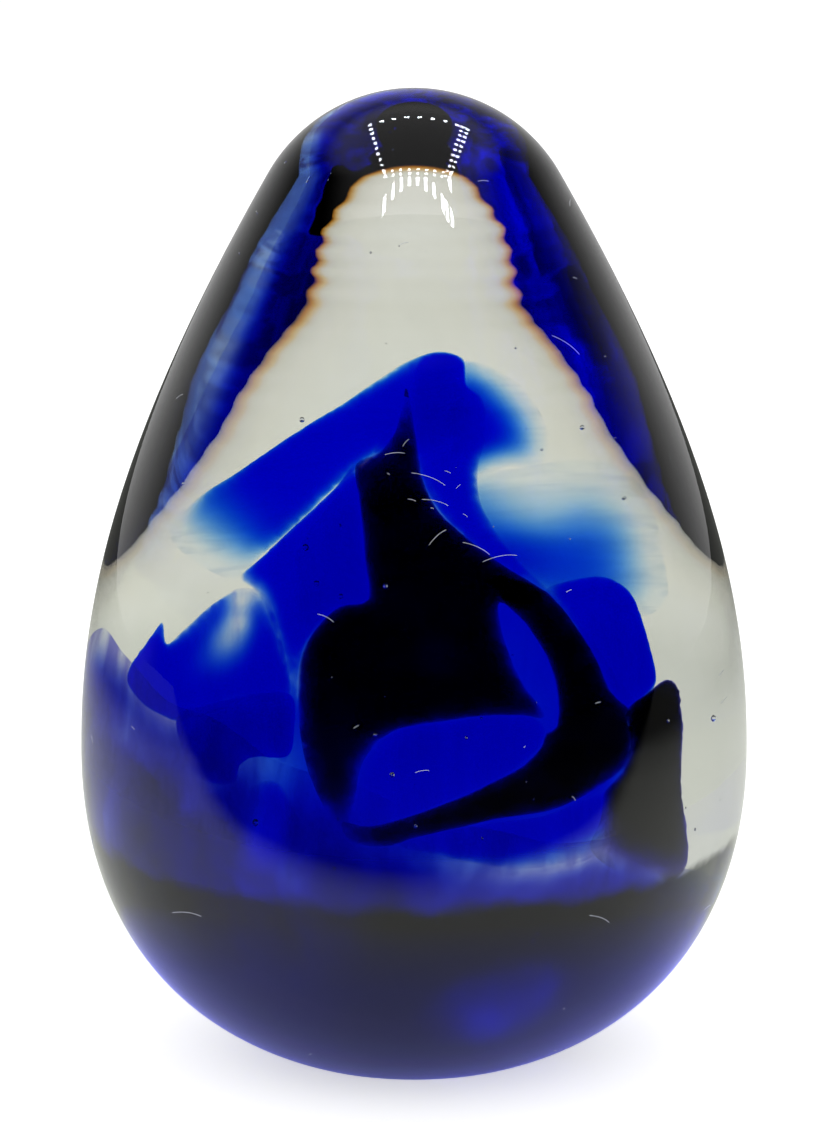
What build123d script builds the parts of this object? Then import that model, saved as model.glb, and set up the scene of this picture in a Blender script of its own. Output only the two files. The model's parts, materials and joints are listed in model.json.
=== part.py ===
from build123d import *
import os

os.makedirs("parts", exist_ok=True)

# Overall egg, mm. The foot is ground flat at Z = 0 and the egg stands on the Z axis.
egg_height = 126.5
egg_radius = 44.0

# Shape of the egg's outline, as shares of its own height or radius.
belly_share = 0.313        # height of the widest ring / height
foot_share = 0.426         # radius of the ground foot / radius
foot_reach_share = 0.418   # how far the bowl runs out straight from the foot / radius
bowl_reach_share = 0.142   # how far the bowl drops upright below the belly / height
shoulder_share = 0.132     # how far the flank rises upright above the belly / height
flank_reach_share = 0.348  # how far the flank runs straight down from the crown / height
crown_share = 0.496        # radius of the round crown / radius
foot_angle = 21.0          # rise of the bowl where it leaves the foot, degrees
crown_angle = 60.0         # how far round the crown runs before the flank starts, degrees

# Clear casing over the core, mm.
casing_wall = 7.0          # at the belly
casing_crown = 20.0        # over the top of the core

# Cobalt skin round the lower core. Its rim climbs towards -X.
cup_wall = 1.4             # mm
cup_rim_share = 0.37       # height of the rim on the axis / core height
cup_rim_slope = 22.0       # degrees

# Thickness of the folded glass, mm.
sheet_wall = 1.6
heavy_wall = 2.4
heart_wall = 6.5

core_radius = egg_radius - casing_wall
core_height = egg_height - casing_crown


def egg(height, radius):
    """Solid egg standing on its ground foot, turned from one half outline."""
    foot = Vector(foot_share * radius, 0, 0)
    bowl_start = foot + Vector(foot_reach_share * radius, 0, 0).rotate(Axis.Y, -foot_angle)
    belly = Vector(radius, 0, belly_share * height)
    bowl_end = belly - Vector(0, 0, bowl_reach_share * height)
    shoulder = belly + Vector(0, 0, shoulder_share * height)
    top = Vector(0, 0, height)
    crown = Vector(0, 0, crown_share * radius)
    crown_middle = top - crown + crown.rotate(Axis.Y, crown_angle / 2)
    crown_edge = top - crown + crown.rotate(Axis.Y, crown_angle)
    flank = crown_edge + Vector(flank_reach_share * height, 0, 0).rotate(Axis.Y, crown_angle)
    outline = [
        Bezier(foot, bowl_start, bowl_end, belly),
        Bezier(belly, shoulder, flank, crown_edge),
        ThreePointArc(crown_edge, crown_middle, top),
        Line(top, (0, 0, 0)),
        Line((0, 0, 0), foot),
    ]
    return revolve(make_face(Wire(outline)), Axis.Z)


def in_core(x, y, z):
    """Point given in hundredths of the core's radius (X and Y) and of its height (Z)."""
    return Vector(x * core_radius / 100, y * core_radius / 100, z * core_height / 100)


def curtain(plan, wall):
    """Upright sheet of the given wall that follows a line across the core, seen from above."""
    front = [in_core(x, y, 0) for x, y in plan]
    back = [point + Vector(0, wall, 0) for point in front]
    edges = [
        Spline(*front),
        Line(front[-1], back[-1]),
        Spline(*back),
        Line(front[0], back[0]),
    ]
    return extrude(make_face(Wire(edges)), core_height, dir=(0, 0, 1))


def veil(outline, plan, wall):
    """Folded sheet: a curtain trimmed to the outline it shows from the front, inside the core."""
    edge = Spline(*[in_core(x, -100, z) for x, z in outline], periodic=True)
    cutter = extrude(make_face(Wire([edge])), 2 * core_radius, dir=(0, 1, 0))
    return curtain(plan, wall) & cutter & core_inside


# The whole egg, the core inside it, and the room left inside the cobalt skin.
whole = egg(egg_height, egg_radius)
core_whole = egg(core_height, core_radius)
core_inside = Pos(0, 0, cup_wall) * egg(core_height - 2 * cup_wall, core_radius - cup_wall)

# Everything under the sloping rim.
below_rim = (
    Pos(0, 0, cup_rim_share * core_height)
    * Rot(0, cup_rim_slope, 0)
    * Box(4 * egg_radius, 4 * egg_radius, egg_height, align=(Align.CENTER, Align.CENTER, Align.MAX))
)

clear_casing = whole - core_whole
cobalt_cup = (core_whole - core_inside) & below_rim

# Outlines are (x, z) pairs seen from the front and plans are (x, y) pairs seen from above,
# all in hundredths of the core as in_core reads them.
folds = {
    "crest_fold": veil(
        outline=[(8, 86), (-4, 85), (-20, 79), (-46, 71), (-70, 64), (-48, 58), (-17, 67), (-2, 76)],
        plan=[(-80, -28), (-45, -36), (-15, -30), (15, -20)],
        wall=sheet_wall,
    ),
    "crest_right_lobe": veil(
        outline=[(4, 83), (14, 85), (26, 81), (38, 73), (30, 68), (8, 70)],
        plan=[(-5, -12), (16, -6), (42, -10)],
        wall=sheet_wall,
    ),
    "right_wing": veil(
        outline=[(14, 66), (32, 71), (48, 69), (60, 61), (64, 53), (34, 54), (14, 58)],
        plan=[(5, 34), (38, 30), (72, 20)],
        wall=sheet_wall,
    ),
    "right_shoulder_lobe": veil(
        outline=[(38, 56), (50, 61), (64, 59), (70, 52), (66, 43), (50, 46), (40, 51)],
        plan=[(32, -40), (54, -44), (76, -36)],
        wall=heavy_wall,
    ),
    "diagonal_fold": veil(
        outline=[(2, 75), (10, 72), (20, 63), (40, 58), (62, 44), (54, 44), (34, 53), (14, 59), (0, 68)],
        plan=[(-6, -22), (16, -19), (40, -23), (68, -20)],
        wall=heavy_wall,
    ),
    "mid_left_panel": veil(
        outline=[(-44, 59), (-14, 68), (-10, 60), (-24, 52), (-30, 46), (-46, 46)],
        plan=[(-52, -20), (-30, -24), (-6, -18)],
        wall=heavy_wall,
    ),
    "left_pocket_lobe": veil(
        outline=[(-86, 51), (-74, 55), (-50, 59), (-36, 55), (-30, 47), (-56, 45), (-76, 46)],
        plan=[(-92, -28), (-60, -46), (-24, -46)],
        wall=heavy_wall,
    ),
    "lower_left_fold": veil(
        outline=[(-62, 45), (-34, 46), (-30, 38), (-44, 35), (-62, 37)],
        plan=[(-68, -32), (-46, -36), (-24, -32)],
        wall=heavy_wall,
    ),
    "lower_left_petal": veil(
        outline=[(-72, 37), (-50, 40), (-34, 36), (-32, 27), (-50, 25), (-66, 29)],
        plan=[(-78, -48), (-52, -60), (-26, -56)],
        wall=heavy_wall,
    ),
    "middle_bowl": veil(
        outline=[(-18, 41), (8, 45), (32, 43), (30, 38), (6, 33), (-16, 33)],
        plan=[(-24, -34), (8, -42), (38, -36)],
        wall=heavy_wall,
    ),
    "lower_swoosh": veil(
        outline=[(-12, 36), (20, 32), (52, 37), (84, 39), (82, 28), (44, 24), (0, 26)],
        plan=[(-18, -52), (22, -62), (62, -54), (90, -32)],
        wall=heavy_wall,
    ),
    "right_lower_veil": veil(
        outline=[(46, 52), (58, 45), (66, 48), (70, 38), (72, 26), (40, 24), (34, 36)],
        plan=[(30, -6), (54, -10), (78, -2)],
        wall=heavy_wall,
    ),
    "dark_heart": veil(
        outline=[(2, 77), (6, 68), (20, 59), (44, 34), (16, 29), (-18, 29), (-28, 43), (-14, 56), (-6, 76)],
        plan=[(-34, 4), (4, -2), (48, 6)],
        wall=heart_wall,
    ),
}

# The clear core fills whatever the coloured glass leaves, so every fold sits tight in it.
clear_core = core_whole - cobalt_cup
for fold in folds.values():
    clear_core = clear_core - fold

pieces = {"clear_casing": clear_casing, "clear_core": clear_core, "cobalt_cup": cobalt_cup, **folds}
for name, solid in pieces.items():
    solid.label = name
    export_step(solid, "parts/" + name + ".step")
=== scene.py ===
import json
import math
import bmesh
import bpy
import numpy
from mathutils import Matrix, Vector, geometry, noise

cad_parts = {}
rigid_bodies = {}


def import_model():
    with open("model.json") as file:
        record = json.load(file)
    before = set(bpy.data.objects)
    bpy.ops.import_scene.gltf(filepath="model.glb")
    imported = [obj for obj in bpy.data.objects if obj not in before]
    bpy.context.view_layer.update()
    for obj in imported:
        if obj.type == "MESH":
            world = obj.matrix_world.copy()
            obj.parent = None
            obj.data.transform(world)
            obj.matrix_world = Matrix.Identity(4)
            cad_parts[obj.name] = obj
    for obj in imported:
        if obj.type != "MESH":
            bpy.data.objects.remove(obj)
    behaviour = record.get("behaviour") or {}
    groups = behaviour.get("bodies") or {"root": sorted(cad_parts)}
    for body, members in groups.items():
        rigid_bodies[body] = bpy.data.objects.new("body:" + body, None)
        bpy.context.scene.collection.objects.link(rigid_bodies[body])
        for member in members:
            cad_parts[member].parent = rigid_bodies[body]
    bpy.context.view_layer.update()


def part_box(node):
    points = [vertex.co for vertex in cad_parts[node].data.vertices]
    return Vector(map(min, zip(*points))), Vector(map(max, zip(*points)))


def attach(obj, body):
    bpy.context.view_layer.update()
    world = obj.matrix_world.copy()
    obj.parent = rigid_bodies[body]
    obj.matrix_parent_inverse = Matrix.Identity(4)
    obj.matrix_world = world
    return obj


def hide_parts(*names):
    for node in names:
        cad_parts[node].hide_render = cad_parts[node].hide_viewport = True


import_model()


# --- Studio ---------------------------------------------------------------------------------------
# A white card under the glass, a low pale wall round it, a dark room above that, and a frame of
# small lamps overhead. Clear glass has no colour of its own: what shows in it is this room, bent.

def linear(hex_colour):
    """sRGB hex to linear colour."""
    parts = [int(hex_colour[i:i + 2], 16) / 255 for i in (0, 2, 4)]
    return [c / 12.92 if c <= 0.04045 else ((c + 0.055) / 1.055) ** 2.4 for c in parts] + [1.0]


def node(tree, kind, settings=None, **links):
    """Adds a node. Settings are its own properties; a link is a socket's name, or i and its number."""
    made = tree.nodes.new(kind)
    for key, value in (settings or {}).items():
        setattr(made, key, value)
    for key, value in links.items():
        numbered = key[0] == "i" and key[1:].isdigit()
        socket = made.inputs[int(key[1:]) if numbered else key.replace("_", " ")]
        if isinstance(value, bpy.types.NodeSocket):
            tree.links.new(value, socket)
        else:
            socket.default_value = value
    return made


def new_material(name):
    """An empty material and its node tree."""
    made = bpy.data.materials.new(name)
    made.use_nodes = True
    made.node_tree.nodes.clear()
    return made, made.node_tree


def ramp(tree, value, low, high, start, end, soft=True):
    """A value that goes from start to end while another goes from low to high. Returns its socket."""
    kind = {"interpolation_type": "SMOOTHSTEP"} if soft else None
    return node(tree, "ShaderNodeMapRange", kind, i0=value, From_Min=low, From_Max=high, To_Min=start,
                To_Max=end).outputs[0]


def maths(tree, operation, first, second):
    """Socket of two values added, multiplied or compared."""
    return node(tree, "ShaderNodeMath", {"operation": operation}, i0=first, i1=second).outputs[0]


def mix(tree, share, first, second, blend="MIX"):
    """Socket of two colours mixed by a share."""
    return node(tree, "ShaderNodeMix", {"data_type": "RGBA", "blend_type": blend}, i0=share, i6=first,
                i7=second).outputs[2]


def mesh_piece(name, points, faces):
    """Object at the origin from points in millimetres, smooth, with its faces turned outwards."""
    mesh = bpy.data.meshes.new(name)
    mesh.from_pydata([[c / 1000 for c in p] for p in points], [], faces)
    shape = bmesh.new()
    shape.from_mesh(mesh)
    bmesh.ops.recalc_face_normals(shape, faces=shape.faces)
    shape.to_mesh(mesh)
    shape.free()
    mesh.polygons.foreach_set("use_smooth", [True] * len(mesh.polygons))
    made = bpy.data.objects.new(name, mesh)
    bpy.context.collection.objects.link(made)
    return made


CARD_HALF = 40000.0          # mm, far enough to reach the horizon
CARD_DROP = 0.3              # mm under the foot, so that the two flats don't fight

card = mesh_piece("card", [(x * CARD_HALF, y * CARD_HALF, -CARD_DROP)
                           for x, y in ((-1, -1), (1, -1), (1, 1), (-1, 1))], [(0, 1, 2, 3)])

# Matt white card. Blue light round the foot, with an amber fringe further out, as a lens throws it, is
# painted on the card: in its colour and as a blue glow. Both show only through the glass: to the eye the card
# is plain. Its mirror image on the glass is a painted reflection, which fades out in front, where whoever
# looks at the glass stands in the light: a painted shadow.
look, tree = new_material("white_card")
WHITE = linear("ffffff")
path = node(tree, "ShaderNodeLightPath").outputs
place = node(tree, "ShaderNodeTexCoord").outputs["Object"]
spot = node(tree, "ShaderNodeSeparateXYZ", Vector=place).outputs
away = node(tree, "ShaderNodeVectorMath", {"operation": "LENGTH"}, i0=place).outputs["Value"]
fibres = node(tree, "ShaderNodeTexNoise", Scale=90.0, Detail=3.0).outputs["Fac"]
paper = ramp(tree, fibres, 0.0, 1.0, 0.93, 0.95, soft=False)

# Painted reflection: the card's colour in its mirror image on the glass, bluish near the foot, darker further
# off, and nearly black in front, a painted shadow of whoever looks at the glass.
front = ramp(tree, spot["Y"], -0.12, -0.075, 0.02, 1.0)
far = ramp(tree, away, 0.09, 0.6, 1.0, 0.12)
spread = ramp(tree, away, 0.045, 0.07, 0.0, 1.0, soft=False)
painted_reflection_tint = mix(tree, spread, linear("a8acff"), linear("bcbeb8"))
strength = maths(tree, "MULTIPLY", maths(tree, "MULTIPLY", front, far), 1.7)
painted_reflection = node(tree, "ShaderNodeVectorMath", {"operation": "SCALE"}, i0=painted_reflection_tint, i3=strength).outputs[0]
seen = mix(tree, path["Is Reflection Ray"], WHITE, painted_reflection)
shade = mix(tree, 1.0, paper, seen, "MULTIPLY")

# Painted caustic: for rays through the glass the card's colour runs in rings from the foot, blue, then an
# amber fringe, then off-white, with darker blue swirls near the foot.
rings = node(tree, "ShaderNodeValToRGB", Fac=away)
PAINTED_CAUSTIC_RINGS = [(0.045, "b8d0ff"), (0.068, "6a88e8"), (0.082, "4450b8"), (0.087, "1c1238"), (0.092, "8e4c0a"),
              (0.100, "f0a020"), (0.108, "ffdc98"), (0.114, "f4f2e6"), (0.145, "f0f0ea"),
              (0.175, "dedfd9")]   # metres from the foot's middle
stops = rings.color_ramp.elements
for k, (radius, colour) in enumerate(PAINTED_CAUSTIC_RINGS):
    stop = stops[k] if k < 2 else stops.new(1.0)
    stop.position, stop.color = radius, linear(colour)
swirl = node(tree, "ShaderNodeTexNoise", Vector=place, Scale=42.0, Detail=4.0, Distortion=1.5).outputs["Fac"]
dim = maths(tree, "MULTIPLY", ramp(tree, swirl, 0.4, 0.6, 0.0, 1.0, soft=False),
            ramp(tree, away, 0.08, 0.09, 1.0, 0.0, soft=False))
painted_caustic_colour = mix(tree, dim, rings.outputs["Color"], linear("3038a0"))
# The painted rings show near the foot and where a ray came a long way from the glass; other rays through the
# glass see a plain off-white.
long_throw = ramp(tree, path["Ray Length"], 0.094, 0.114, 0.0, 1.0, soft=False)
by_foot = ramp(tree, away, 0.084, 0.09, 1.0, 0.0, soft=False)
fringed = mix(tree, maths(tree, "MAXIMUM", by_foot, long_throw), linear("e8e8e2"), painted_caustic_colour)
gathered = mix(tree, path["Is Transmission Ray"], WHITE, fringed)
matt = node(tree, "ShaderNodeBsdfDiffuse", Color=mix(tree, 1.0, shade, gathered, "MULTIPLY")).outputs[0]

# To the eye the card also glows, a painted fill light that lightens the shade round the foot.
fill = node(tree, "ShaderNodeEmission", Color=WHITE,
            Strength=maths(tree, "MULTIPLY", path["Is Camera Ray"], 0.4)).outputs[0]
# A painted blue caustic: through the glass the card glows in blue curls round the foot, four times as bright
# left of the middle as right.
curls = node(tree, "ShaderNodeTexNoise", Vector=place, Scale=130.0, Detail=3.0, Distortion=1.2).outputs["Fac"]
thrown = maths(tree, "MULTIPLY", ramp(tree, curls, 0.4, 0.62, 0.15, 1.0, soft=False),
               ramp(tree, spot["X"], -0.03, 0.03, 3.0, 0.75, soft=False))
caught = maths(tree, "MULTIPLY", maths(tree, "MULTIPLY", thrown, ramp(tree, away, 0.055, 0.078, 1.0, 0.0)),
               path["Is Transmission Ray"])
painted_caustic_glow = node(tree, "ShaderNodeEmission", Color=linear("5f8fe0"), Strength=caught).outputs[0]
both = node(tree, "ShaderNodeAddShader", i0=fill, i1=painted_caustic_glow).outputs[0]
sheet = node(tree, "ShaderNodeAddShader", i0=matt, i1=both).outputs[0]
node(tree, "ShaderNodeOutputMaterial", Surface=sheet)
card.data.materials.append(look)

# The room gives soft light from all round. Through the glass it is pale up to the ragged top of a
# low wall, which stands higher at the sides, and dark above but for two dim glows. Its mirror image
# is a grey haze behind the glass and a dim grey ceiling.
WALL_TOP = (0.118, 0.16)     # how high the wall begins and ends to fade, as a slope
WALL_RAGGED = 0.08
WALL_SIDES = -0.16
GLOWS = [((-0.2, 0.88, 0.43), 0.05, 0.22, 0.9), ((0.3, 0.92, 0.24), 0.0, 0.3, 0.25)]

room = bpy.data.worlds.new("room")
bpy.context.scene.world = room
room.use_nodes = True
tree = room.node_tree
tree.nodes.clear()
path = node(tree, "ShaderNodeLightPath").outputs
place = node(tree, "ShaderNodeTexCoord").outputs["Generated"]
way = node(tree, "ShaderNodeSeparateXYZ", Vector=place).outputs
waves = node(tree, "ShaderNodeTexNoise", Vector=place, Scale=7.0, Detail=3.0).outputs["Fac"]
ragged = node(tree, "ShaderNodeMath", {"operation": "MULTIPLY_ADD"}, i0=waves, i1=WALL_RAGGED, i2=way["Z"])
aside = maths(tree, "MULTIPLY", way["X"], way["X"])
over = node(tree, "ShaderNodeMath", {"operation": "MULTIPLY_ADD"}, i0=aside, i1=WALL_SIDES,
            i2=ragged.outputs[0])
through_glass = ramp(tree, over.outputs[0], *WALL_TOP, 0.72, 0.004)
for middle, near, reach, bright in GLOWS:
    off = node(tree, "ShaderNodeVectorMath", {"operation": "DISTANCE"}, i0=place, i1=middle).outputs["Value"]
    through_glass = maths(tree, "ADD", through_glass, ramp(tree, off, near, reach, bright, 0.0))
haze = maths(tree, "MULTIPLY", ramp(tree, way["Y"], 0.1, 0.9, 0.0, 0.6),
             ramp(tree, way["Z"], 0.1, 1.0, 1.0, 0.0))
mirror = maths(tree, "ADD", haze, ramp(tree, way["Z"], 0.68, 0.85, 0.0, 0.42))


def by_ray(kind, otherwise, value):
    """Socket of a value for rays of one kind, and of another for the rest."""
    choice = node(tree, "ShaderNodeMix", {"data_type": "FLOAT"}, i0=path[kind], i2=otherwise, i3=value)
    return choice.outputs[0]


bright = by_ray("Is Reflection Ray", through_glass, mirror)
bright = by_ray("Is Diffuse Ray", bright, 1.06)
bright = by_ray("Is Camera Ray", bright, 1.05)
air = node(tree, "ShaderNodeBackground", Color=WHITE, Strength=bright)
node(tree, "ShaderNodeOutputWorld", Surface=air.outputs[0])

# Overhead frame of small square lamps, seen only as a mirror image on the crown: one row along each
# side, two more in front and one more at the right. All in mm.
LAMP_HEIGHT = 1200.0
LAMP_SIDE = 34.0
LAMP_LEFT, LAMP_RIGHT, LAMP_FRONT, LAMP_BACK = -375.0, 470.0, -690.0, 430.0
LAMP_GAP = 94.0
FRONT_ROWS = (0.0, 80.0, 160.0)
RIGHT_ROWS = (0.0, -55.0)

lamps = []
steps_across = int((LAMP_RIGHT - LAMP_LEFT) / LAMP_GAP)
steps_along = int((LAMP_BACK - LAMP_FRONT) / LAMP_GAP)
for i in range(steps_across + 1):
    x = LAMP_LEFT + (LAMP_RIGHT - LAMP_LEFT) * i / steps_across
    lamps += [(x, LAMP_BACK)] + [(x, LAMP_FRONT + row) for row in FRONT_ROWS]
for i in range(steps_along + 1):
    y = LAMP_FRONT + (LAMP_BACK - LAMP_FRONT) * i / steps_along
    lamps += [(LAMP_LEFT, y)] + [(LAMP_RIGHT + row, y) for row in RIGHT_ROWS]
points, faces = [], []
for x, y in lamps:
    faces.append([len(points) + k for k in range(4)])
    points += [(x + dx * LAMP_SIDE / 2, y + dy * LAMP_SIDE / 2, LAMP_HEIGHT)
               for dx, dy in ((-1, -1), (1, -1), (1, 1), (-1, 1))]
lamp_frame = mesh_piece("lamp_frame", points, faces)
for ray in ("camera", "diffuse", "transmission", "volume_scatter", "shadow"):
    setattr(lamp_frame, "visible_" + ray, False)
look, tree = new_material("lamp")
light = node(tree, "ShaderNodeEmission", Color=linear("f4f6ff"), Strength=45.0)
node(tree, "ShaderNodeOutputMaterial", Surface=light.outputs[0])
lamp_frame.data.materials.append(look)

# Light crosses up to a dozen skins of glass on its way, and comes back from the far ones.
scene = bpy.context.scene
scene.view_settings.view_transform = "Standard"
scene.cycles.max_bounces = 28
scene.cycles.transmission_bounces = 28
scene.cycles.glossy_bounces = 28
scene.cycles.transparent_max_bounces = 16

EYE_RISE = math.radians(9.5)
EYE_TILT = math.radians(8.85)
EYE_REACH = 0.42             # m from the point that the eye circles
EYE_AIM = 0.06               # m above the card
eye = bpy.data.cameras.new("eye")
eye.sensor_fit = "HORIZONTAL"
eye.sensor_width = 36
eye.lens = 138.4
camera = bpy.data.objects.new("eye", eye)
bpy.context.collection.objects.link(camera)
camera.location = (0, -EYE_REACH * math.cos(EYE_RISE), EYE_AIM + EYE_REACH * math.sin(EYE_RISE))
camera.rotation_euler = (math.pi / 2 - EYE_TILT, 0, 0)
scene.camera = camera


# --- Clear casing ---------------------------------------------------------------------------------
# The outer gather of clear soda-lime crystal, turned and blocked by hand into an egg, then ground
# flat at the foot. The block leaves faint rings round it, and the back is a little fuller.

EGG_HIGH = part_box("clear_casing")[1]
EGG_HEIGHT = EGG_HIGH[2] * 1000
EGG_RADIUS = EGG_HIGH[0] * 1000

RING_SPACING = 3.3           # mm between the block's rings
RING_DEPTH = 0.0042          # mm
RING_MIDDLE, RING_REACH = 97.0, 11.0            # mm up the egg, where the rings are deepest
# How much further the back leans in than a true egg does: mm up it, and degrees.
BACK_SLOPE = [(0, 0), (12, -3.2), (30, -4.6), (42, -1.0), (52, 3.6), (60, 5.0), (68, 4.6), (74, 3.2),
              (80, 2.9), (86, 3.2), (90, 2.0), (94, 0.4), (99, -0.9), (104, -0.5), (112, 0), (130, 0)]


def through(points, t):
    """Point at t (0 to 1) on a smooth line through the given points."""
    last = len(points) - 1
    x = min(max(t, 0.0), 1.0) * last
    i = min(int(x), last - 1)
    f = x - i
    a, b, c, d = points[max(i - 1, 0)], points[i], points[i + 1], points[min(i + 2, last)]
    return [0.5 * (2 * b[k] + (c[k] - a[k]) * f + (2 * a[k] - 5 * b[k] + 4 * c[k] - d[k]) * f * f
                   + (3 * b[k] - a[k] - 3 * c[k] + d[k]) * f**3) for k in range(len(b))]


def bezier(a, b, c, d, steps):
    """Points on a cubic curve, without its last one."""
    line = []
    for i in range(steps):
        t = i / steps
        s = 1 - t
        line.append([s**3 * a[k] + 3 * s * s * t * b[k] + 3 * s * t * t * c[k] + t**3 * d[k] for k in (0, 1)])
    return line


def egg_outline(height, radius, steps):
    """Half outline of an egg of these proportions as (radius, height) pairs, foot to crown."""
    foot = (0.426 * radius, 0.0)
    rise, turn = math.radians(21), math.radians(60)
    crown = 0.496 * radius
    edge = (crown * math.sin(turn), height - crown + crown * math.cos(turn))
    belly = 0.313 * height
    bowl_start = (foot[0] + 0.418 * radius * math.cos(rise), 0.418 * radius * math.sin(rise))
    flank_end = (edge[0] + 0.348 * height * math.cos(turn), edge[1] - 0.348 * height * math.sin(turn))
    line = bezier(foot, bowl_start, (radius, belly - 0.142 * height), (radius, belly), steps)
    line += bezier((radius, belly), (radius, belly + 0.132 * height), flank_end, edge, 2 * steps)
    for i in range(steps):
        a = turn * (1 - i / steps)
        line.append((crown * math.sin(a), height - crown + crown * math.cos(a)))
    return line


def turned(name, outline, around, top, swell=None):
    """Closed solid turned from a half outline. Swell adds to the radius at an angle and height."""
    points, faces = [], []
    for r, z in outline:
        for k in range(around):
            a = 2 * math.pi * k / around
            wide = r + (swell(a, z) if swell else 0)
            points.append((wide * math.cos(a), wide * math.sin(a), z))
    rows = len(outline)
    for i in range(rows - 1):
        for k in range(around):
            n = (k + 1) % around
            faces.append((i * around + k, i * around + n, (i + 1) * around + n, (i + 1) * around + k))
    low, high = len(points), len(points) + 1
    points += [(0, 0, outline[0][1]), (0, 0, top)]
    for k in range(around):
        n = (k + 1) % around
        faces += [(low, n, k), (high, (rows - 1) * around + k, (rows - 1) * around + n)]
    return mesh_piece(name, points, faces)


# The back's swell is its slope added up downwards from the crown.
heights = numpy.arange(0.0, 131.0, 0.5)
slopes = numpy.interp(heights, *zip(*BACK_SLOPE))
fullness = numpy.cumsum(numpy.tan(numpy.radians(slopes))[::-1])[::-1] * 0.5
fullness -= fullness[0] * numpy.clip((45 - heights) / 45, 0, 1)


def casing_swell(angle, z):
    """Rings all round, and the back's fullness at this height, both in mm."""
    drift = 1.3 * noise.noise(Vector((2 * math.cos(angle), 2 * math.sin(angle), z / 9)))
    ring = RING_DEPTH * math.sin(2 * math.pi * z / RING_SPACING + 1.2 * math.sin(z / 7) + drift)
    ring *= (0.22 + 0.8 * math.exp(-((z - RING_MIDDLE) / RING_REACH) ** 2)
             + 0.4 * noise.noise(Vector((0, 5, z / 6))))
    back = max(0.0, math.sin(angle)) ** 2
    return ring + back * float(numpy.interp(z, heights, fullness))


casing = turned("casing_glass", egg_outline(EGG_HEIGHT, EGG_RADIUS, 72), 224, EGG_HEIGHT, casing_swell)

# Clear soda-lime crystal, fire polished: no colour but a trace of green in depth. Its skin carries
# faint drag marks from the block and a little dust, which break up the sharpest highlights. Both are
# drawn a millimetre or two across, coarser than real ones, so that they show.
look, tree = new_material("fire_polished_crystal")
place = node(tree, "ShaderNodeTexCoord")
drawn = node(tree, "ShaderNodeMapping", Vector=place.outputs["Object"], Scale=(60, 60, 900))
drag = node(tree, "ShaderNodeTexNoise", Vector=drawn.outputs[0], Scale=1.0, Detail=3.0)
dust = node(tree, "ShaderNodeTexNoise", Vector=place.outputs["Object"], Scale=420.0, Detail=4.0)
clear = mix(tree, dust.outputs["Fac"], WHITE, linear("fbfcfc"))
skin = node(tree, "ShaderNodeBump", Strength=0.012, Distance=0.00005, Height=drag.outputs["Fac"])
glass = node(tree, "ShaderNodeBsdfPrincipled", IOR=1.5, Transmission_Weight=1.0, Normal=skin.outputs[0],
             Roughness=0.0, Base_Color=clear)
body = node(tree, "ShaderNodeVolumeAbsorption", Color=linear("f6f8f2"), Density=14.0)
node(tree, "ShaderNodeOutputMaterial", Surface=glass.outputs[0], Volume=body.outputs[0])


def settle(piece, stands_for, glass_look):
    """Gives a piece its glass and puts it in the place of its CAD node."""
    piece.data.materials.append(glass_look)
    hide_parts(stands_for)
    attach(piece, "root")


settle(casing, "clear_casing", look)


# --- Clear core -----------------------------------------------------------------------------------
# The inner gather of the same crystal, with the coloured folds and cords of glass caught in it. It
# is fused to the casing all over, so its skin bends no light and shows only as the depth of tint.

CORE_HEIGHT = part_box("clear_core")[1][2] * 1000
CORE_RADIUS = 37.0
CORE_INSET = 0.12            # mm inside the cobalt skin, so that the two don't share a face

core_line = [(r - CORE_INSET, z + CORE_INSET * (1 - 2 * z / CORE_HEIGHT))
             for r, z in egg_outline(CORE_HEIGHT, CORE_RADIUS, 24)]
core = turned("core_glass", core_line, 96, CORE_HEIGHT - CORE_INSET)


def fused_glass(name, stretch, tint, colour, density, turn=0.0, detail=4.0, warp=1.0, between=(0.0, 1.0),
                rough=0.05, bump=0.1, bump_depth=0.0001):
    """Glass fused into other glass: it bends no light at its skin and takes colour out in depth.

    Its pattern is noise of so many waves a metre along X, Y and Z, and its streaks run the way that
    has the fewest. Turn, in degrees about Y, picks another part of the noise and leaves the streaks
    their way. Between two levels of the pattern the glass goes from clear to its tint."""
    made, tree = new_material(name)
    place = node(tree, "ShaderNodeTexCoord").outputs["Object"]
    drawn = node(tree, "ShaderNodeMapping", Vector=place, Rotation=(0, math.radians(turn), 0), Scale=stretch)
    pattern = node(tree, "ShaderNodeTexNoise", Vector=drawn.outputs[0], Scale=1.0, Detail=detail,
                   Distortion=warp).outputs["Fac"]
    share = ramp(tree, pattern, *between, 0.0, 1.0, soft=False)
    skin = node(tree, "ShaderNodeBump", Strength=bump, Distance=bump_depth, Height=pattern)
    matt = ramp(tree, pattern, 0.0, 1.0, 0.0, rough, soft=False) if rough else 0.0
    glass = node(tree, "ShaderNodeBsdfPrincipled", IOR=1.0, Transmission_Weight=1.0, Roughness=matt,
                 Normal=skin.outputs[0], Base_Color=mix(tree, share, WHITE, linear(tint)))
    body = node(tree, "ShaderNodeVolumeAbsorption", Color=linear(colour), Density=density)
    node(tree, "ShaderNodeOutputMaterial", Surface=glass.outputs[0], Volume=body.outputs[0])
    return made


# The same crystal from an older pot, a trace greyer. Cords of slightly different glass were drawn up
# through it with the gather, so its tint runs in upright streaks.
gathered_crystal = fused_glass("gathered_crystal", (220, 220, 30), "f0f1ef", "f4f5f2", 10.0, warp=0.6,
                               rough=0.0, bump=0.05)
settle(core, "clear_core", gathered_crystal)


# --- Cobalt cup -----------------------------------------------------------------------------------
# The skin of dark cobalt glass that the hot core was dipped in. It thickens down to the foot, has
# thin places where it stretched over the folds, and ends in a wavy rim that climbs to the left.

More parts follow.
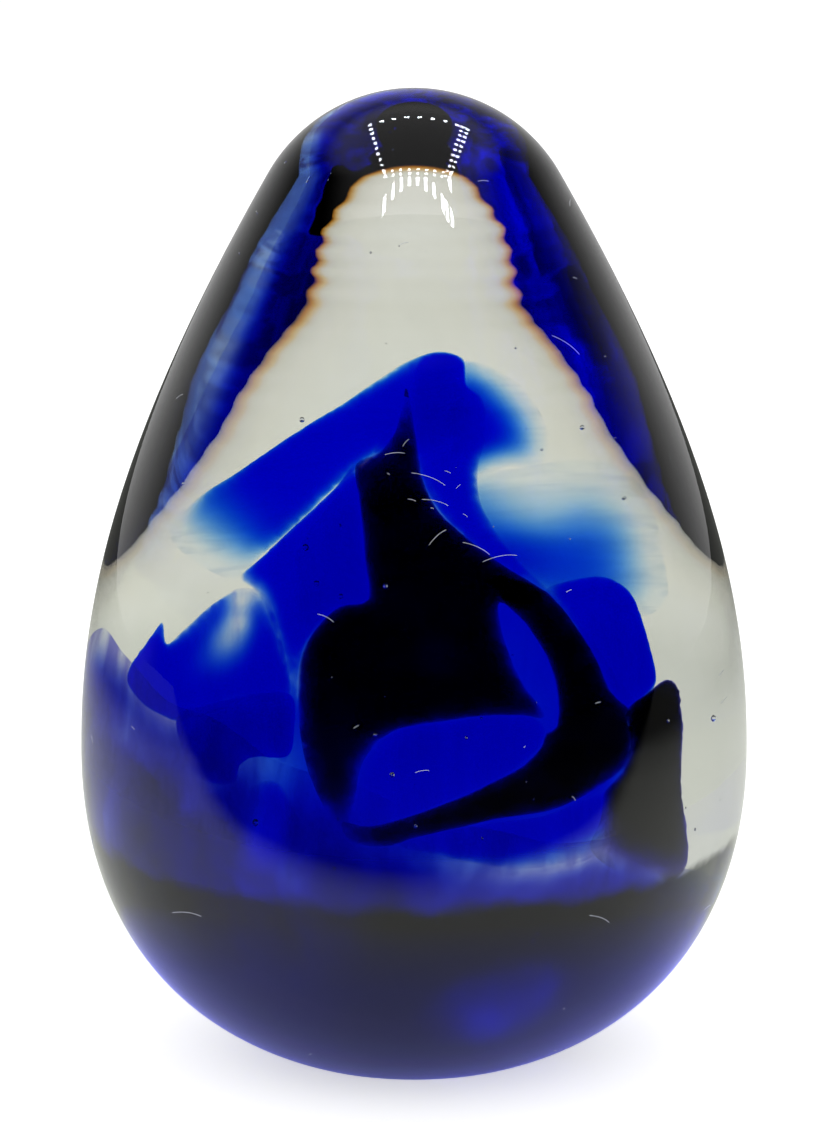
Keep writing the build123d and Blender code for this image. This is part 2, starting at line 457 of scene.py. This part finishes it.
CUP_RIM = [22, 16, 18, 34, 54, 50, 40, 33]      # mm high, every 45 degrees from +X by +Y
CUP_EDGE = 0.05              # mm of glass at the rim
CUP_SIDE = 3.2               # mm gained over the first CUP_RUN below the rim
CUP_RUN = 15.0
CUP_FOOT = 0.5               # mm more down at the foot
CUP_FOOT_START = 24.0
CUP_THINNEST = 0.02
# Thin and thick places: degrees from +X by +Y, height, reach in mm, and what is left of the wall.
CUP_PATCHES = [(-119, 36, 6.5, 0.01), (-75, 37, 7, 0.6), (-52, 28, 9, 1.9), (-45, 8, 7, 0.25),
               (-70, 6, 6, 0.3), (85, 8, 10, 0.3), (-170, 40, 14, 0.55)]


def cup_rim(angle):
    """Height of the wavy rim at an angle, in mm."""
    turn = (angle % (2 * math.pi)) / (2 * math.pi) * len(CUP_RIM)
    i = int(turn)
    near = [(CUP_RIM[(i + k) % len(CUP_RIM)],) for k in (-1, 0, 1, 2)]
    wave = noise.noise(Vector((3 * math.cos(angle), 3 * math.sin(angle), 4)))
    return through(near, (1 + turn - i) / 3)[0] + 1.6 * wave


def cup_wall(angle, z, depth, point):
    """Wall at a place on the cup, given its depth under the rim."""
    side = min(1.0, depth / CUP_RUN)
    foot = min(1.0, max(0.0, (CUP_FOOT_START - z) / CUP_FOOT_START))
    cloud = 0.5 + 0.5 * noise.fractal(point / 9, 0.8, 2.0, 3)
    wall = CUP_EDGE + (CUP_SIDE * side * side * (3 - 2 * side) + CUP_FOOT * foot) * (0.3 + 1.4 * cloud)
    for turn, height, reach, left in CUP_PATCHES:
        middle = math.radians(turn)
        gap = math.hypot(point.length * math.sin((angle - middle) / 2) * 2, z - height)
        wall *= 1 - (1 - left) * math.exp(-(gap / reach) ** 2)
    return max(wall, CUP_THINNEST)


around, rows = 160, 64
core_radii, core_heights = zip(*egg_outline(CORE_HEIGHT, CORE_RADIUS, 60))
outer, inner = [], []
for i in range(rows + 1):
    share = i / rows
    for k in range(around):
        a = 2 * math.pi * k / around
        rim = cup_rim(a)
        z = rim * (1 - share)
        r = float(numpy.interp(z, core_heights, core_radii))
        out = Vector((r * math.cos(a), r * math.sin(a), z))
        wall = cup_wall(a, z, rim - z, out)
        outer.append(out + Vector((0, 0, CORE_INSET)))
        inside = r - wall
        inner.append(Vector((inside * math.cos(a), inside * math.sin(a), z + CORE_INSET + wall * share)))
faces = []
shift = len(outer)
for i in range(rows):
    for k in range(around):
        n = (k + 1) % around
        quad = (i * around + k, i * around + n, (i + 1) * around + n, (i + 1) * around + k)
        faces += [quad, tuple(shift + p for p in reversed(quad))]
for k in range(around):
    faces.append((k, shift + k, shift + (k + 1) % around, (k + 1) % around))
middle_out, middle_in = 2 * shift, 2 * shift + 1
for k in range(around):
    n = (k + 1) % around
    faces += [(middle_out, rows * around + k, rows * around + n),
              (middle_in, shift + rows * around + n, shift + rows * around + k)]
foot_top = sum(p.z for p in inner[-around:]) / around
cup = mesh_piece("cup_glass", outer + inner + [(0, 0, CORE_INSET), (0, 0, foot_top)], faces)

# Dipped cobalt glass, dense and a little violet, because thick cobalt lets some red by. It ran as it
# cooled, so its tint hangs in soft upright curtains with darker drips between them.
dipped_cobalt = fused_glass("dipped_cobalt_glass", (150, 150, 45), "9a97e0", "2a78f4", 3400.0, detail=5.0,
                            warp=1.2, between=(0.38, 0.62), rough=0.06, bump_depth=0.0002)
settle(cup, "cobalt_cup", dipped_cobalt)


# --- Crest: the fold over the top, its right lobe and the pale wing -------------------------------
# Three tongues of cobalt glass dragged up and over the heart with a hook while hot. Where they were
# pulled thin they pass from full blue through azure to nearly clear.

GRID = 0.75                  # mm between the points of a fold's mesh
THINNEST = 0.02              # mm
INSET = 0.3                  # mm from a fold's edge to the ring of points that keeps it crisp


def plan_depth(plan, x):
    """Depth (Y) at x of the curve through three points seen from above."""
    (a, p), (b, q), (c, r) = plan
    x = min(max(x, min(a, c)), max(a, c))
    return (p * (x - b) * (x - c) / ((a - b) * (a - c)) + q * (x - a) * (x - c) / ((b - a) * (b - c))
            + r * (x - a) * (x - b) / ((c - a) * (c - b)))


def fold(outline, plan, wall, spots=()):
    """Points and faces of a closed lens of folded glass, all in mm.

    The outline, seen from the front, is a ring of (x, z, fade): fade is how far in from that part
    of the edge the glass takes to reach its full wall. The plan bends it in depth. Spots are
    (x, z, reach, change) places where the wall is thinner, or thicker where change is over zero."""
    ring = []
    count = len(outline)
    for i in range(count):
        near = [outline[(i + k) % count] for k in (-1, 0, 1, 2)]
        span = math.hypot(near[2][0] - near[1][0], near[2][1] - near[1][1])
        steps = max(2, round(span / 0.6))
        ring += [through(near, (1 + s / steps) / 3) for s in range(steps)]
    edge = numpy.array(ring)
    fades = numpy.maximum(edge[:, 2], 0.2)
    start, run = edge[:, :2], numpy.roll(edge[:, :2], -1, axis=0) - edge[:, :2]
    length = numpy.maximum((run**2).sum(1), 1e-9)

    def distances(at):
        step = ((at[:, None] - start[None]) * run[None]).sum(2) / length
        foot = start[None] + numpy.clip(step, 0, 1)[:, :, None] * run[None]
        return numpy.sqrt(((at[:, None] - foot) ** 2).sum(2))

    def within(at):
        a, b = start, start + run
        crosses = (a[None, :, 1] > at[:, None, 1]) != (b[None, :, 1] > at[:, None, 1])
        rise = numpy.where(run[:, 1] == 0, 1e-9, run[:, 1])
        meet = a[None, :, 0] + (at[:, None, 1] - a[None, :, 1]) * (run[:, 0] / rise)[None]
        return (crosses & (at[:, None, 0] < meet)).sum(1) % 2 == 1

    low, high = start.min(0), start.max(0)
    across = numpy.arange(low[0], high[0], GRID)
    grid = numpy.array([(x + GRID / 2 * (j % 2), z) for j, z in enumerate(numpy.arange(low[1], high[1], GRID))
                        for x in across])
    turn = numpy.roll(start, -1, axis=0) - numpy.roll(start, 1, axis=0)
    across_edge = numpy.stack([-turn[:, 1], turn[:, 0]], 1)
    across_edge /= numpy.maximum(numpy.hypot(*turn.T), 1e-9)[:, None]
    rings = numpy.concatenate([start + INSET * across_edge, start - INSET * across_edge])
    rings = rings[within(rings) & (distances(rings).min(1) > 0.8 * INSET)]
    grid = grid[within(grid) & (distances(grid).min(1) > 1.9 * INSET)]
    flat = numpy.concatenate([start, rings, grid])
    made = geometry.delaunay_2d_cdt([Vector(p) for p in flat], [], [list(range(len(start)))], 1, 1e-4)
    places, triangles = numpy.array([tuple(p) for p in made[0]]), [list(f) for f in made[2]]
    on_edge = [any(k < len(start) for k in source) for source in made[3]]

    reach = distances(places)
    share = (1 - numpy.exp(-(reach / fades[None]) ** 3)).min(1)
    links = [[] for _ in places]
    for a, b, c in triangles:
        links[a] += [b, c]
        links[b] += [a, c]
        links[c] += [a, b]
    for _ in range(3):
        share = numpy.array([s if edge_point or not near else 0.5 * s + 0.5 * share[near].mean()
                             for s, edge_point, near in zip(share, on_edge, links)])
    points, rear, back = [], [], list(range(len(places)))
    for i, (x, z) in enumerate(places):
        ripple = noise.noise(Vector((x / 5, wall, z / 5)))
        thick = wall * share[i] * (1 + 0.18 * ripple)
        for sx, sz, spread, change in spots:
            thick *= 1 + change * math.exp(-((x - sx) ** 2 + (z - sz) ** 2) / spread**2)
        y = plan_depth(plan, x) + 0.7 * noise.noise(Vector((x / 9, 7, z / 9)))
        half = 0.0 if on_edge[i] else max(thick, THINNEST) / 2
        points.append((x, y - half, z))
        if not on_edge[i]:
            back[i] = len(places) + len(rear)
            rear.append((x, y + half, z))
    faces = [tuple(t) for t in triangles] + [tuple(back[k] for k in reversed(t)) for t in triangles]
    return points + rear, faces


def folds_piece(name, *folds):
    """One object from one or more folds."""
    points, faces = [], []
    for fold_points, fold_faces in folds:
        faces += [tuple(len(points) + k for k in face) for face in fold_faces]
        points += fold_points
    return mesh_piece(name, points, faces)


# Pulled cobalt glass: clear, with blue that deepens with its thickness, azure where thin. The hook
# drew it out in fine level streaks a millimetre or two apart.
pulled_cobalt = fused_glass("pulled_cobalt_glass", (70, 200, 620), "e2eaf6", "00c3fe", 4000.0, turn=-35,
                            warp=0.8, between=(0.45, 0.75))

crest_fold = folds_piece("crest_fold_glass", fold([
    (4.6, 89, 0.4), (2.4, 90.2, 0.7), (-0.4, 89.2, 1), (-3.4, 87, 1), (-6.8, 84.2, 0.5),
    (-11.4, 81, 0.4), (-18, 76.4, 0.4), (-23, 73.6, 1.2), (-27.2, 70.2, 9), (-24.2, 66.4, 10),
    (-18, 63, 7), (-15.2, 65.6, 1.2), (-11.2, 69.6, 1), (-6.8, 74.4, 1), (-2.8, 77.8, 1), (1, 77.2, 1),
    (5.2, 80.2, 1), (5, 85.2, 0.6),
], plan=[(-27, -14), (-8, -9), (6, -6)], wall=4.5))
crest_right_lobe = folds_piece("crest_right_lobe_glass", fold([
    (3.8, 86.6, 0.6), (4.4, 88.2, 1), (6.6, 87.8, 4.5), (9.2, 85.8, 5.5), (11.4, 82.2, 5.5),
    (12.4, 78, 5.5), (11.4, 74.8, 5), (8.6, 74.8, 4.5), (6.2, 73.8, 3.5), (4.4, 72.2, 1),
    (3.2, 79.6, 1),
], plan=[(3, -4), (8, -3), (14, -2)], wall=7.0))
right_wing = folds_piece("right_wing_glass", fold([
    (4.8, 71.6, 1.5), (8.6, 72.2, 6), (12.2, 73, 9), (16, 72.6, 9), (18.4, 70.4, 9), (20.2, 66.8, 8),
    (21.2, 62.2, 8), (21.6, 57, 7), (18.6, 54.4, 4), (14.4, 56.2, 1), (10.6, 56.4, 0.6),
    (7.6, 59.2, 0.6), (4.4, 63, 0.6), (4, 67.6, 0.6),
], plan=[(4, 7), (12, 9), (22, 6)], wall=1.6, spots=[
    (10, 67, 5, -0.5), (16.5, 61.5, 4, 1.4), (7.5, 62, 3, 0.9)]))
for piece in (crest_fold, crest_right_lobe, right_wing):
    settle(piece, piece.name.removesuffix("_glass"), pulled_cobalt)


# --- Body folds: the diagonal, the panel left of the heart, and the lobes ------------------------
# Thicker folds of the same cobalt, laid over each other round the heart. They keep a full blue to
# their edges, and go towards black wherever two of them overlap.

# Folded cobalt glass, a shade deeper than the pulled tongues. Its streaks follow the folds upright.
folded_cobalt = fused_glass("folded_cobalt_glass", (420, 160, 60), "ccd2f6", "00b0fe", 4000.0, turn=20,
                            detail=5.0, between=(0.4, 0.7))

diagonal_fold = folds_piece("diagonal_fold_glass", fold([
    (1.4, 90, 1), (4.6, 89.2, 0.4), (5, 85.8, 0.4), (6.6, 83.8, 1), (6.6, 78.8, 2), (6, 75.2, 1.2),
    (6.2, 71.4, 1.2), (7.4, 68.4, 1.5), (9.4, 64.8, 0.8), (12.6, 60.8, 0.5), (15, 58.2, 0.6),
    (18, 54, 0.6), (20.4, 49.6, 0.6), (21.4, 47, 0.6), (19.2, 48.8, 0.6), (16.8, 53.4, 0.6),
    (14.4, 57, 0.6), (11.8, 60, 0.5), (8.4, 63, 0.5), (5.2, 66.6, 0.5), (2.8, 69.6, 0.5),
    (1, 73.2, 0.5), (0, 77.8, 0.5), (-0.4, 84, 0.5), (0.2, 88.2, 0.8),
], plan=[(0, -7), (8, -6), (21, -10)], wall=4.6))
right_shoulder_lobe = folds_piece("right_shoulder_lobe_glass", fold([
    (13.2, 62, 1.2), (15.8, 63.4, 0.6), (19.2, 64, 0.5), (21.4, 63.2, 0.4), (23, 61.6, 0.3),
    (24.2, 58, 0.3), (25, 54.6, 0.3), (25.4, 51.2, 0.3), (23.6, 49.2, 0.4), (21.6, 47.8, 0.4),
    (19.8, 50.4, 0.6), (18, 54.6, 0.6), (16, 58.4, 0.6),
], plan=[(10, -14), (18, -14), (25, -14)], wall=4.8))
mid_left_panel = folds_piece("mid_left_panel_glass", fold([
    (-5.2, 76.2, 0.5), (-4.6, 69.2, 0.3), (-4.2, 59.8, 0.3), (-6.8, 59, 0.5), (-9, 57.2, 0.6),
    (-10.4, 54.2, 0.6), (-11, 49.4, 0.8), (-11.4, 43.8, 1), (-12.2, 41.2, 1), (-13.2, 42.6, 1),
    (-13, 48.4, 1), (-12.8, 53.6, 1), (-13.8, 57.6, 1.2), (-15.2, 61, 1.8), (-17, 62.8, 0.5),
    (-14.8, 65.2, 0.4), (-11, 69.4, 0.4), (-7.6, 73.2, 0.4),
], plan=[(-16, -9), (-10, -8), (-4, -7)], wall=4.8))
left_pocket_lobe = folds_piece("left_pocket_lobe_glass", fold([
    (-33.2, 52, 0.3), (-32, 54.6, 0.3), (-29.8, 57, 0.3), (-28, 59.2, 0.3), (-27.2, 56.6, 0.7),
    (-24.8, 58.4, 1), (-22, 60.8, 0.6), (-19.2, 62.6, 0.3), (-17.8, 63, 2.5), (-15.6, 62.4, 1.5),
    (-14.2, 59.8, 1), (-13, 55.2, 0.8), (-12.2, 50.6, 0.8), (-13, 49, 0.8), (-15.4, 49.4, 0.6),
    (-17.8, 49.4, 0.6), (-20.8, 48.4, 0.5), (-24.8, 47.2, 0.5), (-27.8, 48, 0.4), (-30.6, 49.4, 0.3),
], plan=[(-33, -17), (-22, -17), (-12, -14)], wall=4.8, spots=[
    (-18, 61.5, 2, -0.97), (-18.2, 59, 2.6, -0.96), (-19.5, 57, 3.8, -0.85), (-21.5, 54.5, 4.5, -0.6)]))
lower_left_fold = folds_piece("lower_left_fold_glass", fold([
    (-24, 47, 0.5), (-20, 48.4, 0.5), (-16.2, 49.4, 0.5), (-12, 49.6, 0.5), (-11.6, 45.4, 0.5),
    (-12.2, 42.4, 0.5), (-15, 42.4, 0.5), (-17, 42, 0.6), (-17.8, 39.4, 0.6), (-20.8, 39.4, 1),
    (-22.6, 41, 1), (-23.8, 43.6, 0.8),
], plan=[(-25, -12), (-18, -12), (-10, -11)], wall=11.5))
lower_left_petal = folds_piece("lower_left_petal_glass", fold([
    (-18, 39.6, 1.5), (-16, 41, 0.8), (-14, 40.8, 0.6), (-12.8, 38.4, 0.6), (-11.6, 36, 0.8),
    (-10.6, 34.4, 1), (-11.8, 32.2, 2), (-13.6, 30.8, 1.2), (-15.2, 29.2, 0.8), (-16.4, 28, 0.8),
    (-18.6, 27.8, 1.5), (-20.2, 29, 2), (-21, 31.4, 2.5), (-20.4, 34.8, 2.5), (-19.6, 37.6, 2),
], plan=[(-21, -20), (-16, -21), (-11, -20)], wall=2.4, spots=[(-17.5, 37.5, 3, -0.8)]))
# The bowl, and behind the heart a broad thin sheet that shows blue through the gaps.
middle_bowl = folds_piece("middle_bowl_glass", fold([
    (-4, 44, 1.5), (-1.4, 46, 0.6), (2.4, 46.8, 0.5), (6.4, 47.4, 0.4), (10.2, 47.6, 0.4),
    (12, 46.8, 0.4), (12.8, 45.6, 0.4), (12.2, 43.6, 0.4), (10.2, 41.6, 0.4), (7.4, 39.8, 0.4),
    (3.4, 37.8, 0.4), (-0.2, 36, 0.5), (-2.8, 35.2, 1.5), (-5.2, 35.8, 1.5), (-5.8, 38.6, 1.5),
    (-5.2, 41.6, 1.5),
], plan=[(-6, -12), (3, -13), (13, -12)], wall=2.6, spots=[(-0.5, 44, 3, 1.2), (7, 41, 3, -0.25)]), fold([
    (-10.4, 56.2, 1.5), (-9, 63.2, 1.5), (-4.6, 71.2, 1), (-0.8, 77.4, 1), (2, 68.2, 1),
    (6.8, 60.6, 1), (11.8, 55.8, 1), (16, 48.4, 1), (18.2, 43.2, 1.5), (18.2, 34.8, 2),
    (15.6, 29.2, 3), (10, 26.8, 3), (2, 26.4, 3), (-6, 26.8, 3), (-12.2, 26.2, 3), (-16, 28.8, 3),
    (-17, 33.8, 2), (-18.6, 38.2, 1.5), (-18.8, 42.4, 1.2), (-14.2, 44.6, 1), (-10.4, 46.2, 1.5),
    (-10.2, 50.6, 1.5),
], plan=[(-24, 8), (0, 10), (22, 9)], wall=2.4, spots=[(-17, 37, 8, -0.92)]))
lower_swoosh = folds_piece("lower_swoosh_glass", fold([
    (-2, 34.2, 1.5), (2.6, 35, 0.5), (8.6, 35.8, 0.5), (13.2, 36.4, 0.5), (16.8, 37.8, 0.5),
    (19.6, 39, 0.8), (22.4, 40.4, 2), (24.6, 39.2, 3), (23.4, 35.8, 3), (20.2, 33, 3), (15.8, 31.2, 3),
    (10.6, 30.6, 2), (5.6, 31.4, 1.2), (1.6, 32.4, 1.2), (-1.4, 33, 1.2),
], plan=[(-2, -16), (10, -17), (25, -15)], wall=3.4))
for piece in (diagonal_fold, right_shoulder_lobe, mid_left_panel, left_pocket_lobe, lower_left_fold,
              lower_left_petal, middle_bowl, lower_swoosh):
    settle(piece, piece.name.removesuffix("_glass"), folded_cobalt)


# --- Heart: the dark mass in the middle, and the veil that curls round under it -------------------
# Gathers of the strongest cobalt, so dense that they pass light only at their thin edges. The veil
# is a band that curls from the heart's right side under it, with a broad dark foot at its right.

# Dense cobalt glass: near black, with slow swells of deep navy where it is a little thinner, and
# its last thin edge a brown-violet from the iron and manganese in the melt.
dense_cobalt = fused_glass("dense_cobalt_glass", (160, 160, 160), "7c74a0", "5030d8", 3000.0, warp=1.5,
                           between=(0.4, 0.65))

dark_heart = folds_piece("dark_heart_glass", fold([
    (-0.6, 83.4, 0.6), (0.2, 77, 0.4), (0.8, 72, 0.4), (2, 68.6, 0.4), (4, 65.8, 0.4), (7.4, 62, 0.5),
    (11.2, 58.2, 0.6), (9.4, 56.2, 0.8), (7.4, 57.4, 0.8), (7.4, 55.2, 0.8), (8, 52.2, 0.8),
    (9.2, 48.4, 0.8), (11.2, 44.4, 0.6), (9, 44.6, 0.5), (5.6, 44.6, 0.5), (2.2, 44, 0.5),
    (-1.2, 43.2, 0.6), (-3.2, 41.6, 1), (-4.6, 38.8, 1.2), (-5, 35.8, 1.2), (-5.8, 31.6, 1.2),
    (-7.4, 33.8, 1.2), (-8.8, 37.4, 1.2), (-9.6, 41.2, 1), (-10, 46.2, 0.7), (-9.8, 50.8, 0.5),
    (-8.6, 54.2, 0.4), (-6.4, 57, 0.4), (-4, 57.8, 0.35), (-4.2, 62.4, 0.35), (-4.6, 68.4, 0.35),
    (-5, 73.8, 0.4), (-3, 75.4, 0.8), (-1.6, 78, 0.8), (-1, 81.4, 0.6),
], plan=[(-10, 3), (4, 3), (15, 4)], wall=5.2, spots=[
    (-3, 74.5, 2.5, -0.35), (2, 52, 4, -0.2), (-6, 40, 4, -0.3)]))
right_lower_veil = folds_piece("right_lower_veil_glass", fold([
    (6.6, 61.8, 0.8), (9.6, 61.2, 0.5), (12, 59.8, 0.4), (14.4, 56.4, 0.4), (16.4, 52.4, 0.4),
    (18, 48, 0.4), (19.8, 45.6, 0.4), (20, 42.6, 0.5), (19.4, 39.6, 0.8), (17.2, 37.6, 0.8),
    (14.6, 35.8, 0.6), (11.8, 34.6, 0.5), (7.6, 34, 0.5), (4, 33, 0.5), (0.4, 32, 0.6), (-2.6, 31, 1),
    (-5.6, 31.4, 1), (-6.4, 33.4, 0.8), (-4, 33, 0.6), (-0.4, 34.2, 0.5), (3.2, 36, 0.4),
    (6.8, 38, 0.4), (9.6, 39.8, 0.4), (11.4, 41.8, 0.4), (12, 43.6, 0.4), (13, 44.4, 0.3),
    (13, 48.4, 0.4), (12, 52.4, 0.4), (10.2, 56, 0.4), (8.2, 58.6, 0.4),
], plan=[(-4, -2), (9, -3), (20, -2)], wall=5.5), fold([
    (19.6, 45.8, 0.4), (21.4, 47.6, 0.4), (23.8, 49.2, 0.3), (24.6, 46.2, 0.3), (24.8, 42.2, 0.3),
    (24.6, 37.4, 0.3), (24.8, 32.8, 0.3), (25.6, 28.4, 0.4), (22.8, 26.8, 4), (18.8, 28.2, 4),
    (16, 30.6, 3), (17, 33.6, 2), (17.4, 36.8, 1), (18.8, 38.6, 1), (20, 42, 1),
], plan=[(12, -3), (20, -3), (25, -2)], wall=9.0))
settle(dark_heart, "dark_heart", dense_cobalt)
settle(right_lower_veil, "right_lower_veil", dense_cobalt)


# --- Seed bubbles ---------------------------------------------------------------------------------
# Tiny bubbles of air left in the core from the melt and from each fold. They are voids and not
# pieces of glass, drawn out a little upwards, from a tenth to two thirds of a millimetre across.

def node_group(name, inputs):
    """Geometry node tree with named number inputs, and its input and output nodes."""
    group = bpy.data.node_groups.new(name, "GeometryNodeTree")
    group.interface.new_socket("Geometry", in_out="INPUT", socket_type="NodeSocketGeometry")
    for label in inputs:
        group.interface.new_socket(label, in_out="INPUT", socket_type="NodeSocketFloat")
    group.interface.new_socket("Geometry", in_out="OUTPUT", socket_type="NodeSocketGeometry")
    return group, group.nodes.new("NodeGroupInput"), group.nodes.new("NodeGroupOutput")


def grown(name, group, host, inputs):
    """The plain mesh object that a node tree grows on a copy of the host's mesh."""
    made = bpy.data.objects.new(name, host.data.copy())
    bpy.context.collection.objects.link(made)
    grower = made.modifiers.new(name, "NODES")
    grower.node_group = group
    for socket in group.interface.items_tree:
        if socket.in_out == "INPUT" and socket.name in inputs:
            grower[socket.identifier] = inputs[socket.name]
    shape = bpy.data.meshes.new_from_object(made.evaluated_get(bpy.context.evaluated_depsgraph_get()))
    made.modifiers.remove(grower)
    made.data = shape
    return made


# Air in glass: the light slows down less inside it, so a bubble's ratio of speeds is under one, and
# it shows as a bright ring with a dark rim. Gas from the melt leaves its skin a trace uneven, in
# waves of a third of a millimetre, coarser than real ones so that they show.
look, tree = new_material("air_in_glass")
place = node(tree, "ShaderNodeTexCoord")
grain = node(tree, "ShaderNodeTexNoise", Vector=place.outputs["Object"], Scale=3000.0, Detail=2.0)
tint = mix(tree, grain.outputs["Fac"], WHITE, linear("eef4ff"))
skin = node(tree, "ShaderNodeBump", Strength=0.1, Distance=0.00002, Height=grain.outputs["Fac"])
rough = ramp(tree, grain.outputs["Fac"], 0.0, 1.0, 0.0, 0.05, soft=False)
air_skin = node(tree, "ShaderNodeBsdfPrincipled", IOR=0.667, Transmission_Weight=1.0, Roughness=rough,
                Normal=skin.outputs[0], Base_Color=tint)
node(tree, "ShaderNodeOutputMaterial", Surface=air_skin.outputs[0])
bubble_look = look

group, given, result = node_group("seed_bubbles", ("Per Square Metre", "Smallest", "Largest"))
spread = node(group, "GeometryNodeDistributePointsOnFaces", Mesh=given.outputs["Geometry"],
              Density=given.outputs["Per Square Metre"], Seed=11)
depth = node(group, "FunctionNodeRandomValue", {"data_type": "FLOAT"}, i2=0.2, i3=0.94, Seed=5)
inwards = node(group, "ShaderNodeCombineXYZ", X=depth.outputs[1], Y=depth.outputs[1], Z=0.97)
position = node(group, "GeometryNodeInputPosition")
moved = node(group, "ShaderNodeVectorMath", {"operation": "MULTIPLY"}, i0=position.outputs[0],
             i1=inwards.outputs[0])
sown = node(group, "GeometryNodeSetPosition", Geometry=spread.outputs["Points"], Position=moved.outputs[0])
chance = node(group, "FunctionNodeRandomValue", {"data_type": "FLOAT"}, i2=0.0, i3=1.0, Seed=8)
rare = node(group, "ShaderNodeMath", {"operation": "POWER"}, i0=chance.outputs[1], i1=3.0)
size = node(group, "ShaderNodeMapRange", i0=rare.outputs[0], To_Min=given.outputs["Smallest"],
            To_Max=given.outputs["Largest"])
drawn_up = node(group, "ShaderNodeVectorMath", {"operation": "SCALE"}, i0=(1.0, 1.0, 1.35),
                Scale=size.outputs[0])
ball = node(group, "GeometryNodeMeshIcoSphere", Radius=1.0, Subdivisions=2)
placed = node(group, "GeometryNodeInstanceOnPoints", Points=sown.outputs[0], Instance=ball.outputs["Mesh"],
              Scale=drawn_up.outputs[0])
real = node(group, "GeometryNodeRealizeInstances", Geometry=placed.outputs[0])
smooth = node(group, "GeometryNodeSetShadeSmooth", i0=real.outputs[0])
finish = node(group, "GeometryNodeSetMaterial", Geometry=smooth.outputs[0], Material=bubble_look)
group.links.new(finish.outputs[0], result.inputs[0])

bubbles = grown("seed_bubbles", group, core,
                {"Per Square Metre": 5200.0, "Smallest": 0.00005, "Largest": 0.00034})
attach(bubbles, "root")


# --- Surface marks --------------------------------------------------------------------------------
# Handling marks on the casing: short fine scratches all round, crowded in one scuff high on the
# front. Each is a hair of crushed glass a few hundredths of a millimetre wide.

# Crushed glass in a scratch: white and matt, because its splinters scatter the light. They are drawn
# at two thirds of a millimetre, far coarser than real ones, so that they show.
look, tree = new_material("crushed_glass")
place = node(tree, "ShaderNodeTexCoord")
grit = node(tree, "ShaderNodeTexNoise", Vector=place.outputs["Object"], Scale=1500.0, Detail=3.0)
dusty = mix(tree, grit.outputs["Fac"], linear("c4c8d2"), linear("f4f5f8"))
rough = ramp(tree, grit.outputs["Fac"], 0.0, 1.0, 0.5, 0.8, soft=False)
skin = node(tree, "ShaderNodeBump", Strength=0.4, Distance=0.00002, Height=grit.outputs["Fac"])
frosted = node(tree, "ShaderNodeBsdfPrincipled", Base_Color=dusty, Roughness=rough, Normal=skin.outputs[0])
node(tree, "ShaderNodeOutputMaterial", Surface=frosted.outputs[0])
crushed_look = look

SCUFF = (0.003, -0.031, 0.076)   # metres, where the scuff is
group, given, result = node_group("surface_marks",
                                  ("Per Square Metre", "Hair Radius", "Shortest", "Longest"))
position = node(group, "GeometryNodeInputPosition")
off = node(group, "ShaderNodeVectorMath", {"operation": "DISTANCE"}, i0=position.outputs[0], i1=SCUFF)
crowd = node(group, "ShaderNodeMapRange", i0=off.outputs["Value"], From_Min=0.004, From_Max=0.012,
             To_Min=1.0, To_Max=0.02)
spread = node(group, "GeometryNodeDistributePointsOnFaces", {"distribute_method": "POISSON"},
              Mesh=given.outputs["Geometry"], Distance_Min=0.0006, Seed=4,
              Density_Max=given.outputs["Per Square Metre"], Density_Factor=crowd.outputs[0])
swing = node(group, "FunctionNodeRandomValue", {"data_type": "FLOAT"}, i2=-0.9, i3=0.9, Seed=2)
about = node(group, "FunctionNodeAxisAngleToRotation", Axis=(0, 0, 1), Angle=swing.outputs[1])
facing = node(group, "FunctionNodeRotateRotation", {"rotation_space": "LOCAL"},
              Rotation=spread.outputs["Rotation"], Rotate_By=about.outputs[0])
chance = node(group, "FunctionNodeRandomValue", {"data_type": "FLOAT"}, i2=0.0, i3=1.0, Seed=9)
rare = node(group, "ShaderNodeMath", {"operation": "POWER"}, i0=chance.outputs[1], i1=2.5)
size = node(group, "ShaderNodeMapRange", i0=rare.outputs[0], To_Min=given.outputs["Shortest"],
            To_Max=given.outputs["Longest"])
hair = node(group, "GeometryNodeCurveQuadraticBezier", Resolution=8, Start=(-0.5, 0, 0),
            Middle=(0.1, 0.14, 0), End=(0.5, 0, 0))
placed = node(group, "GeometryNodeInstanceOnPoints", Points=spread.outputs["Points"],
              Instance=hair.outputs[0], Rotation=facing.outputs[0], Scale=size.outputs[0])
real = node(group, "GeometryNodeRealizeInstances", Geometry=placed.outputs[0])
surface = node(group, "GeometryNodeProximity", i0=given.outputs["Geometry"])
laid = node(group, "GeometryNodeSetPosition", Geometry=real.outputs[0],
            Position=surface.outputs["Position"])
section = node(group, "GeometryNodeCurvePrimitiveCircle", Resolution=4, Radius=given.outputs["Hair Radius"])
swept = node(group, "GeometryNodeCurveToMesh", Curve=laid.outputs[0], Profile_Curve=section.outputs[0],
             Fill_Caps=True)
finish = node(group, "GeometryNodeSetMaterial", Geometry=swept.outputs[0], Material=crushed_look)
group.links.new(finish.outputs[0], result.inputs[0])

marks = grown("surface_marks", group, casing,
              {"Per Square Metre": 90000.0, "Hair Radius": 0.00003, "Shortest": 0.0003, "Longest": 0.0055})
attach(marks, "root")
# Light passes through the glass, so it throws only a faint shadow on the card.
for piece in bpy.context.scene.objects:
    if piece.name.endswith("_glass") or piece.name in ("seed_bubbles", "surface_marks"):
        piece.visible_shadow = False
for piece in (casing, core):
    piece.visible_diffuse = False
